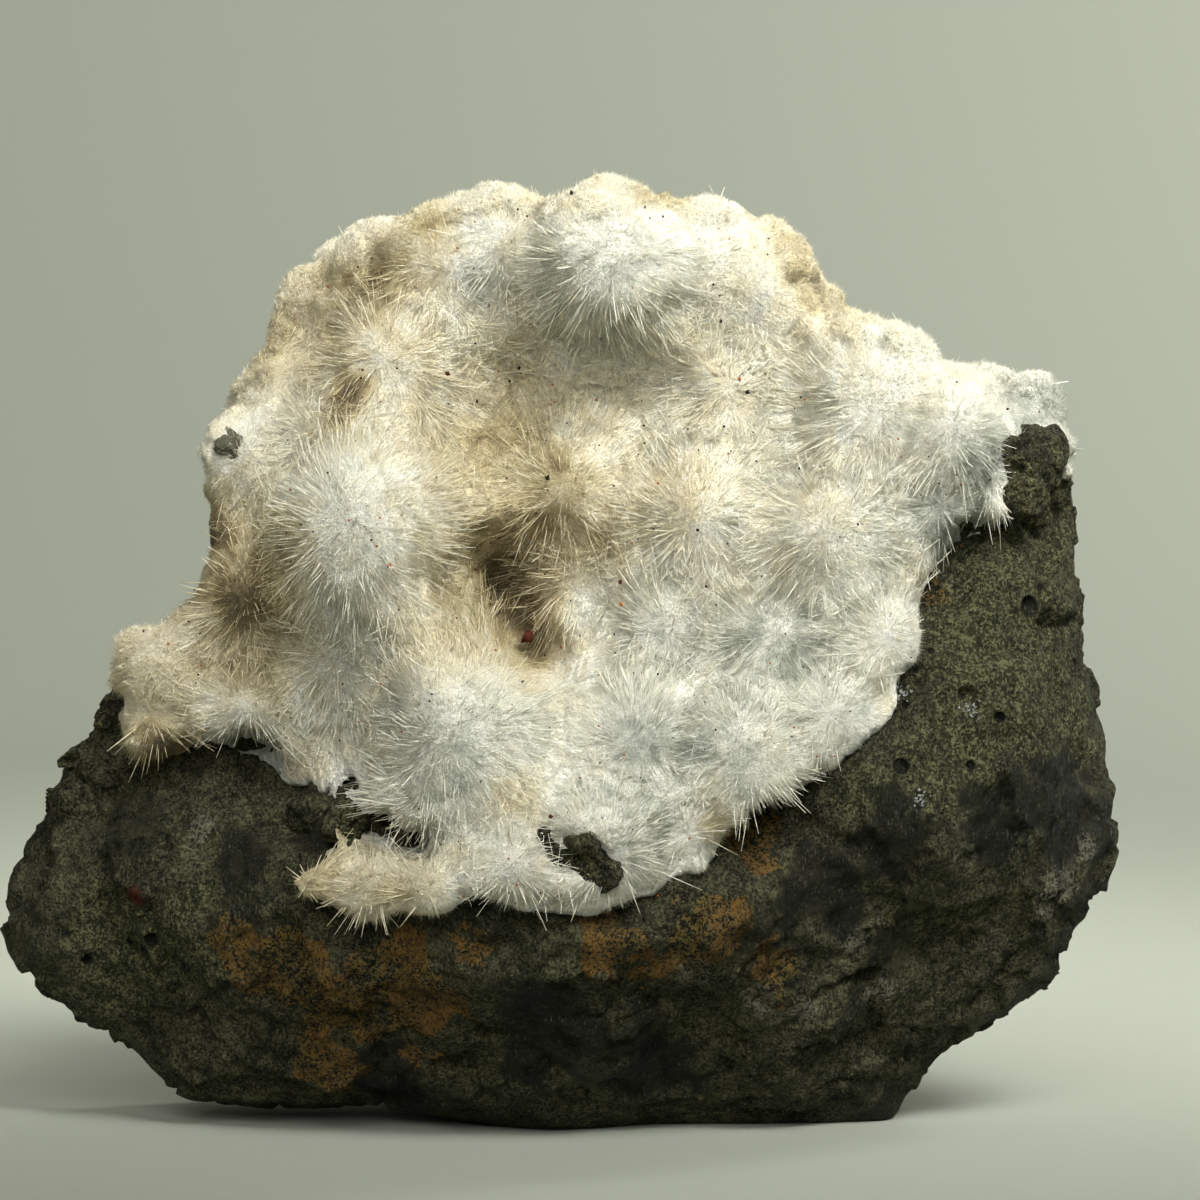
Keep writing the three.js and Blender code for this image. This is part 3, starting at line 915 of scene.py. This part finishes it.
class OKENITE_OT_basalt(bpy.types.Operator):
    """Break the lump of basalt into chips, grain and open gas bubbles"""

    bl_idname = "okenite.basalt"
    bl_label = "Basalt matrix"

    def execute(self, context):
        settings = context.scene.specimen.basalt
        obj = merged_copy("basalt_matrix", "basalt_lump")
        remesh(obj, settings.voxel, 4)
        mesh = obj.data
        p = points_of(mesh)
        n = normals_of(mesh)
        cell = settings.chip / MM
        # large chips, small ones that are half as deep on the fresh break, and a grain of 1 to 2 mm
        height = chips(p + 0.8 * lumps(p, 4, 3)[:, None], cell, 0.13, 10)
        height += chips(p, cell * 0.33, 0.2, 30) * (1 - 0.5 * fresh_break(p))
        height += 0.3 * lumps(p, 2.4, 50) + 0.28 * lumps(p, 1.2, 60)
        # the face that it stands on stays flat
        height *= smooth(p[:, 2], 0.2, 3.0)
        p = p + n * height[:, None]
        p[:, 2] = np.maximum(p[:, 2], 0)
        set_points(mesh, p)
        self.open_pits(obj)
        for name, share in self.marks(points_of(mesh)).items():
            store(mesh, name, share)
        select_only(obj)
        bpy.ops.object.shade_smooth()
        mesh.materials.clear()
        mesh.materials.append(basalt_material())
        mesh.polygons.foreach_set("material_index", np.zeros(len(mesh.polygons), dtype=np.int32))
        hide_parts("basalt_matrix")
        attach(obj, "root")
        return {"FINISHED"}

    def open_pits(self, obj):
        """Cuts the broken gas bubbles into the lump, all in one go."""
        tree = surface_tree(obj.data)
        cutter = joined_spheres("bubbles", [(from_front(tree, x, z)[0], radius) for x, z, radius in PITS], 3)
        p = points_of(cutter.data)
        set_points(cutter.data, p + 0.12 * lumps(p, 0.5, 41)[:, None])
        apply_modifier(obj, "BOOLEAN", operation="DIFFERENCE", object=cutter, solver="MANIFOLD")
        bpy.data.objects.remove(cutter)

    def marks(self, p):
        """How strong each mark is at each point: set patches in front, others by chance, and a dark
        seam along the okenite."""
        front = smooth(-p[:, 1], -6, 0)
        seam = 1 - smooth(height_over(surface_tree(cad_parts["okenite_crust"].data), p), 0.4, 1.6)
        # painted shade: the open gas bubbles are painted black inside as well as the dark skin patches
        black = np.maximum(patches(p, BLACK_SKIN, 2.2, 23), 1.4 * patches(p, PITS, 0, 27)) * front
        black = np.maximum(black, 0.4 * seam)
        fresh_behind = 0.35 * smooth(lumps(p, 14, 71), 0.1, 0.4) * (1 - front)
        black_anywhere = 0.7 * smooth(lumps(p, 9, 73), 0.3, 0.6)
        ochre_behind = 0.7 * smooth(lumps(p, 8, 75), 0.4, 0.7) * (1 - 0.8 * front)
        return {
            "fresh": np.maximum(fresh_break(p), fresh_behind),
            "black": np.maximum(black, black_anywhere),
            "ochre": np.maximum(patches(p, OCHRE, 2.2, 25) * front, ochre_behind),
            "pale": patches(p, PALE, 0.8, 27) * front,
            "red": patches(p, RED, 0.3, 29) * front,
        }


class OKENITE_OT_felt(bpy.types.Operator):
    """Make the matted body that the needles stand on"""

    bl_idname = "okenite.felt"
    bl_label = "Okenite mat"

    def execute(self, context):
        settings = context.scene.specimen.mat
        fill = settings.fill / MM
        obj = merged_copy("okenite_crust", "okenite_mat")
        mesh = obj.data
        middles = puff_middles()
        centres = nuclei(middles)
        rock = surface_tree(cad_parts["basalt_matrix"].data)
        packed = surface_tree(mesh)
        # swell and shrink again in small steps, which fills the gaps between the puffs
        coarse = settings.voxel * 1.2
        remesh(obj, coarse, 3)
        for way in (1, 1, 1, 1, -1, -1, -1, -1):
            set_points(mesh, points_of(mesh) + normals_of(mesh) * way * fill / 4)
            remesh(obj, coarse, 3)
        p = points_of(mesh)
        n = normals_of(mesh)
        _, over = nearest_puff(p, middles)
        margin = height_over(rock, p)
        rind = rind_at(p)
        inset = (0.4 + 0.3 * smooth(-over, -0.6, 0.6)) * smooth(margin, 0.8, 3.0) * (1 - rind)
        # on the rim and next to the basalt the gaps stay open, and the edge is ragged
        edge = 1 - smooth(margin, 1.2, 4.2)
        inset += np.clip(height_over(packed, p), 0, fill) * np.maximum(edge, 0.35 * rind)
        inset += edge * (1 - rind) * (0.15 + 0.7 * lumps(p, 2.4, 92) + 0.45 * lumps(p, 1.2, 93)).clip(-0.3)
        p = p - n * inset[:, None]
        # the dark gap and the bare places drop back
        drop = CLEFT_DEPTH * cleft_at(p) * smooth(-n[:, 1], 0.2, 0.6)
        p[:, 1] += drop + bare_at(p) * smooth(-n[:, 1], -0.2, 0.4)
        set_points(mesh, p)
        remesh(obj, settings.voxel, 3)

        p = points_of(mesh)
        n = normals_of(mesh)
        which, over = nearest_puff(p, middles)
        ray = unit(p - centres[which])
        rind = rind_at(p)
        # broad swells, then fibres on the puffs, tufts between them, and chips and crumbs on the rind
        p = p + n * (0.7 * lumps(p, 6.5, 67) + 0.45 * lumps(p, 3.2, 68))[:, None]
        fibre = 0.22 * lumps(ray, LOCK_CELL, LOCK_SEED) + 0.1 * lumps(ray, 0.07, 62)
        fibre = fibre * smooth(-over, -0.5, 0.5)
        fibre += (0.2 * lumps(p, 1.6, 63) + 0.08 * lumps(p, 0.8, 64)) * smooth(over, -0.5, 0.5)
        tilt = 0.22 + 0.2 * smooth(p[:, 1], 0, 5)
        broken = tilt * chips(p + 0.9 * lumps(p, 2.5, 69)[:, None], 4.5, 1.0, 65)
        broken += 0.3 * lumps(p, 1.9, 66) + 0.3 * lumps(p, 1.0, 70) + 0.2 * lumps(ray, 0.14, 71)
        p = p + n * (fibre * (1 - rind) + broken * rind)[:, None]
        set_points(mesh, p)
        apply_modifier(obj, "SMOOTH", factor=0.5, iterations=1)
        margin = height_over(rock, points_of(mesh))
        store(mesh, "tint", np.clip(tint_at(p, over, margin) + 0.1 * rind, 0, 1))
        store(mesh, "ray", ray)
        select_only(obj)
        bpy.ops.object.shade_smooth()
        mesh.materials.append(felt_material())
        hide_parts("okenite_crust")
        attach(obj, "root")
        return {"FINISHED"}


class OKENITE_OT_needles(bpy.types.Operator):
    """Stand the needles on the mat, each pointing out of its puff"""

    bl_idname = "okenite.needles"
    bl_label = "Okenite needles"

    def execute(self, context):
        settings = context.scene.specimen.needles
        rng = np.random.default_rng(settings.seed)
        self.mat = bpy.data.objects["okenite_mat"].data
        self.material = needle_material()
        self.middles = puff_middles()
        self.centres = nuclei(self.middles)
        self.rock = surface_tree(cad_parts["basalt_matrix"].data)
        self.surface = surface_tree(self.mat)
        self.width = settings.width / MM
        normals = normals_of(self.mat)
        places = points_of(self.mat)
        # fur stands nearly everywhere but not on the bare places, long needles only well inside the front
        shown = smooth(-normals[:, 1], -1.1, 0.3)
        covered = (1 + 0.9 * rind_at(places)) * (1 - smooth(bare_at(places), 0.2, 1.2))
        self.everywhere = shown * covered
        bold = smooth(-normals[:, 1], -0.5, 0.5)
        inner = smooth(-rim_at(places), 0.5, 5.0) + 0.02
        self.inside = bold * inner * smooth(height_over(self.rock, places), 1.5, 4.5)
        self.fur(settings.fur, rng)
        self.fringe(settings.fringe, rng)
        self.strays(settings.strays, rng)
        return {"FINISHED"}

    def stand(self, count, density, lie, spread, rng):
        """Places on the mat and the way a needle leaves each: out of its puff, or matted between."""
        roots, normals = scatter(self.mat, count, density, rng)
        which, over = nearest_puff(roots, self.middles)
        ray = unit(roots - self.centres[which])
        low = np.clip((ray * normals).sum(axis=1), -1, 1)
        ray = unit(ray + normals * np.maximum(0.3 - low, 0)[:, None])
        loose = unit(rng.normal(0, 1, roots.shape))
        loose = unit(loose - normals * (loose * normals).sum(axis=1)[:, None])
        matted = loose * lie + normals * rng.uniform(0.15, 0.8, count)[:, None]
        share = np.maximum(smooth(over, -0.9, 0.8), 0.85 * rind_at(roots))[:, None]
        locks = 0.32 * sway(roots, 2.6, 101) + 0.2 * sway(roots, 1.1, 104)
        locks = locks + rng.normal(0, spread, roots.shape)
        way = unit(ray * (1 - share) + unit(matted) * share + locks)
        margin = height_over(self.rock, roots)
        return roots, normals, way, ray, over, margin

    def reach_at(self, roots, normals, over, margin):
        """Room for needles, mm: deep on the puffs, a short nap between them and on the outline."""
        facing = smooth(-normals[:, 1], -0.1, 0.55)
        inner = smooth(-rim_at(roots), -0.5, 3.5)
        tuft = 1 + 0.45 * lumps(roots, 1.4, 107)
        room = 0.65 + 0.55 * smooth(-over, -0.6, 0.6)
        reach = room * tuft * (0.65 + 0.35 * facing) * (0.7 + 0.3 * inner)
        return reach * (0.35 + 0.65 * smooth(margin, 0.4, 3.5))

    def finish(self, name, roots, tips, widths, tints, blunt):
        """Makes one piece of needles and puts it on the specimen."""
        obj = needle_mesh(name, roots, tips, widths, np.clip(tints, 0.005, 0.99), blunt)
        obj.data.materials.append(self.material)
        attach(obj, "root")

    def clear(self, tips, way, normals, farthest):
        """Needles that leave the mat, stay near it and don't run into the basalt."""
        keep = (way * normals).sum(axis=1) > 0.08
        keep &= height_over(self.surface, tips) < farthest
        return keep & (height_over(self.rock, tips) > 0.15)

    def fur(self, count, rng):
        """Fine needles that make the soft body of the puffs."""
        roots, normals, way, ray, over, margin = self.stand(count, self.everywhere, 1.0, 0.12, rng)
        lock = lumps(ray, LOCK_CELL, LOCK_SEED)
        reach = self.reach_at(roots, normals, over, margin) * (1 + 0.25 * lock)
        reach *= rng.uniform(0.55, 1.2, count)
        tips = roots + way * reach[:, None]
        keep = self.clear(tips, way, normals, 2.0)
        tints = tint_at(roots, over, margin) + 0.07 * lock + rng.normal(0, 0.03, count)
        widths = 0.55 * self.width * rng.uniform(0.7, 1.3, count) * (1 + 0.8 * rind_at(roots))
        roots, tips, way, widths, tints = (part[keep] for part in (roots, tips, way, widths, tints))
        band = np.digitize(roots[:, 0], np.quantile(roots[:, 0], [0.2, 0.4, 0.6, 0.8]))
        for index in range(5):
            part = band == index
            name = f"okenite_fur_{index + 1}"
            self.finish(name, (roots - way * FUR_SUNK)[part], tips[part], widths[part], tints[part], False)

    def fringe(self, count, rng):
        """Longer, blunt needles that stand past the fur and catch the light."""
        roots, normals, way, ray, over, margin = self.stand(count, self.inside, 1.0, 0.16, rng)
        lock = lumps(ray, LOCK_CELL, LOCK_SEED)
        reach = self.reach_at(roots, normals, over, margin) * (1 + 0.3 * lock)
        reach *= 0.8 + 2.0 * rng.random(count) ** 3
        tips = roots + way * reach[:, None]
        keep = self.clear(tips, way, normals, 1.2 + 1.6 * smooth(margin, 1, 5)) & (over < 0.8)
        tints = 0.09 + 0.6 * tint_at(roots, over, margin) + rng.normal(0, 0.03, count)
        widths = self.width * rng.uniform(0.7, 1.3, count)
        self.finish("okenite_fringe", roots[keep], tips[keep], widths[keep], tints[keep], True)

    def strays(self, count, rng):
        """Needles that lie criss-cross on the mat between the puffs."""
        roots, normals, way, _, over, margin = self.stand(count, self.inside, 2.5, 0.1, rng)
        reach = (0.4 + 0.6 * smooth(margin, 0.5, 4.0)) * (0.3 + 0.7 * smooth(-rim_at(roots), 1.0, 7.0))
        tips = roots + normals * 0.25 + way * (reach * rng.uniform(1.2, 3.8, count))[:, None]
        keep = self.clear(tips, way, normals, 0.7 + 0.6 * smooth(margin, 1, 5)) & (over > -1.0)
        tints = tint_at(roots, over, margin) - 0.05 + rng.normal(0, 0.03, count)
        widths = 0.8 * self.width * rng.uniform(0.7, 1.2, count)
        self.finish("okenite_strays", roots[keep], tips[keep], widths[keep], tints[keep], True)


class OKENITE_OT_nubs(bpy.types.Operator):
    """Let lumps of basalt and patches of quartz crystals stand out of the okenite's edge"""

    bl_idname = "okenite.nubs"
    bl_label = "Basalt nubs and quartz"

    def execute(self, context):
        rng = np.random.default_rng(31)
        mat = surface_tree(bpy.data.objects["okenite_mat"].data)
        rock = surface_tree(bpy.data.objects["basalt_lump"].data)
        spheres = []
        for x, z, radius in NUBS:
            place, _ = first_hit((mat, rock), x, z)
            if place is None:
                place = np.array(rock.find_nearest(Vector((x + MIDDLE[0], -6, z)) * MM)[0]) / MM
            # the larger a nub, the deeper it sits
            place[1] += 0.65 * (radius - 0.8)
            spheres.append((place * MM, radius))
        nubs = joined_spheres("basalt_nubs", spheres, 5)
        remesh(nubs, NUB_MESH * MM, 4)
        p = points_of(nubs.data)
        n = normals_of(nubs.data)
        height = chips(p, 2.4, 0.3, 33) + 0.25 * lumps(p, 1.0, 34) + 0.15 * lumps(p, 0.5, 35)
        set_points(nubs.data, p + n * (height - 0.1)[:, None])
        store(nubs.data, "ochre", 0.8 * smooth(lumps(p, 1.5, 36), 0.0, 0.5))
        store(nubs.data, "pale", 1.6 * patches(p, [(-28, 58.3, 3)], 0.3, 38))
        store(nubs.data, "fresh", 0.7 * smooth(lumps(p, 2.1, 37), -0.3, 0.3))
        bpy.ops.object.shade_smooth()
        nubs.data.materials.append(bpy.data.objects["basalt_lump"].data.materials[0])
        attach(nubs, "root")

        places = []
        for x, z, radius in DRUSE:
            for _ in range(int(CRYSTALS * radius**2)):
                away = radius * rng.normal(0, 0.5, 2)
                place, normal = first_hit((mat, rock), x + away[0], z + away[1])
                if place is not None:
                    places.append(place + 0.08 * normal)
        places = np.array(places)
        obj = grain_mesh("quartz_druse", places, rng.uniform(0.2, 0.4, len(places)), rng)
        obj.data.materials.append(quartz_material())
        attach(obj, "root")
        return {"FINISHED"}


class OKENITE_OT_grains(bpy.types.Operator):
    """Scatter the small dark and rusty grains that are caught in the needles"""

    bl_idname = "okenite.grains"
    bl_label = "Grains in the needles"

    def execute(self, context):
        rng = np.random.default_rng(23)
        mat = bpy.data.objects["okenite_mat"].data
        tree = surface_tree(mat)
        density = smooth(-normals_of(mat)[:, 1], 0.0, 0.5)
        places, normals = scatter(mat, 420, density, rng)
        lift = rng.uniform(0.3, 0.8, len(places)) * (1 - 0.95 * rind_at(places))
        places = places + normals * lift[:, None]
        sizes = rng.uniform(0.1, 0.3, len(places))
        colours = rng.choice(3, len(places), p=[0.5, 0.25, 0.25])
        for x, z, size, colour in NAMED_GRAINS:
            place, normal = first_hit((tree,), x, z)
            places = np.vstack([places, place + normal * (0.8 * size + 0.3)])
            sizes = np.append(sizes, size)
            colours = np.append(colours, colour)
        for index, name in enumerate(("black", "brown", "rust")):
            part = colours == index
            obj = grain_mesh(f"grains_{name}", places[part], sizes[part], rng)
            obj.data.materials.append(grain_material(f"Grains of {name} iron ore", GRAIN_COLOURS[index]))
            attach(obj, "root")
        return {"FINISHED"}


class OKENITE_OT_stage(bpy.types.Operator):
    """Set the seamless paper, the lights and the camera"""

    bl_idname = "okenite.stage"
    bl_label = "Studio"

    def execute(self, context):
        settings = context.scene.specimen.stage
        self.paper(settings)
        world = bpy.data.worlds.new("Studio")
        context.scene.world = world
        world.use_nodes = True
        background = world.node_tree.nodes["Background"]
        background.inputs["Color"].default_value = linear("#eef0e4")
        background.inputs["Strength"].default_value = 0.38
        # name, place and aim in metres, width of the disk, how far its light spreads, and its power in watts
        for name, place, aim, size, spread, energy in (
            ("key", (0.17, -0.26, 0.36), (0.075, -0.01, 0.178), 0.22, math.radians(48), 0.58),
            ("fill", (-0.1, -1.2, 0.6), (0.0, 0.0, 0.05), 0.8, math.pi, 14.0),
            ("wall", (0.9, 0.5, 0.9), (0.36, 1.45, 0.45), 0.5, math.pi, 23.0),
        ):
            bpy.ops.object.light_add(type="AREA", location=place)
            light = context.object
            light.name = name
            light.data.shape = "DISK"
            light.data.size = size
            light.data.energy = energy
            light.data.spread = spread
            way = Vector(aim) - Vector(place)
            light.rotation_euler = way.to_track_quat("-Z", "Y").to_euler()

        away = settings.across * settings.lens / 36.0
        bpy.ops.object.camera_add(
            location=(3.6 * MM, -6 * MM - away, 45.2 * MM), rotation=(math.pi / 2, 0, 0)
        )
        camera = context.object
        camera.data.lens = settings.lens
        camera.data.sensor_width = 36.0
        camera.data.clip_start = 0.01
        camera.data.clip_end = 10.0
        context.scene.camera = camera
        context.scene.view_settings.view_transform = "Standard"
        return {"FINISHED"}

    def paper(self, settings):
        """A flat round floor whose rim curves up all round into a low wall, in one sheet."""
        floor_radius, wall_radius, wall_height = 0.8, 1.5, 0.9
        steps = 14
        turns = 96
        around = np.linspace(0, 2 * math.pi, turns, endpoint=False)
        verts = [(0.0, 0.0, 0.0)]
        for step in range(steps + 1):
            a = step / steps * math.pi / 2
            r = floor_radius + (wall_radius - floor_radius) * math.sin(a)
            z = wall_height * (1 - math.cos(a))
            verts += [(r * math.cos(t), r * math.sin(t), z) for t in around]
        faces = [(0, 1 + i, 1 + (i + 1) % turns) for i in range(turns)]
        for step in range(steps):
            for i in range(turns):
                a = 1 + step * turns + i
                b = 1 + step * turns + (i + 1) % turns
                faces.append((a, a + turns, b + turns, b))
        mesh = bpy.data.meshes.new("studio_paper")
        mesh.from_pydata(verts, [], faces)
        mesh.update()
        sheet = bpy.data.objects.new("studio_paper", mesh)
        bpy.context.collection.objects.link(sheet)
        select_only(sheet)
        bpy.ops.object.mode_set(mode="EDIT")
        bpy.ops.mesh.select_all(action="SELECT")
        bpy.ops.mesh.normals_make_consistent(inside=True)
        bpy.ops.object.mode_set(mode="OBJECT")
        bpy.ops.object.shade_smooth()
        mesh.materials.append(paper_material(settings.backdrop))


class OKENITE_PT_specimen(bpy.types.Panel):
    """Sidebar panel that lists the pieces"""

    bl_label = "Okenite puffball"
    bl_idname = "OKENITE_PT_specimen"
    bl_space_type = "VIEW_3D"
    bl_region_type = "UI"
    bl_category = "Okenite"

    def draw(self, context):
        layout = self.layout
        for operator in OPERATORS:
            layout.operator(operator.bl_idname)


OPERATORS = (
    OKENITE_OT_basalt,
    OKENITE_OT_felt,
    OKENITE_OT_needles,
    OKENITE_OT_nubs,
    OKENITE_OT_grains,
    OKENITE_OT_stage,
)
GROUPS = (BasaltSettings, MatSettings, NeedleSettings, StageSettings, SpecimenSettings)
CLASSES = (*GROUPS, *OPERATORS, OKENITE_PT_specimen)


def register():
    for cls in CLASSES:
        bpy.utils.register_class(cls)
    bpy.types.Scene.specimen = bpy.props.PointerProperty(type=SpecimenSettings)


def unregister():
    del bpy.types.Scene.specimen
    for cls in reversed(CLASSES):
        bpy.utils.unregister_class(cls)


def main():
    register()
    bpy.ops.okenite.basalt()
    bpy.ops.okenite.felt()
    bpy.ops.okenite.needles()
    bpy.ops.okenite.nubs()
    bpy.ops.okenite.grains()
    bpy.ops.okenite.stage()


if __name__ == "__main__":
    main()
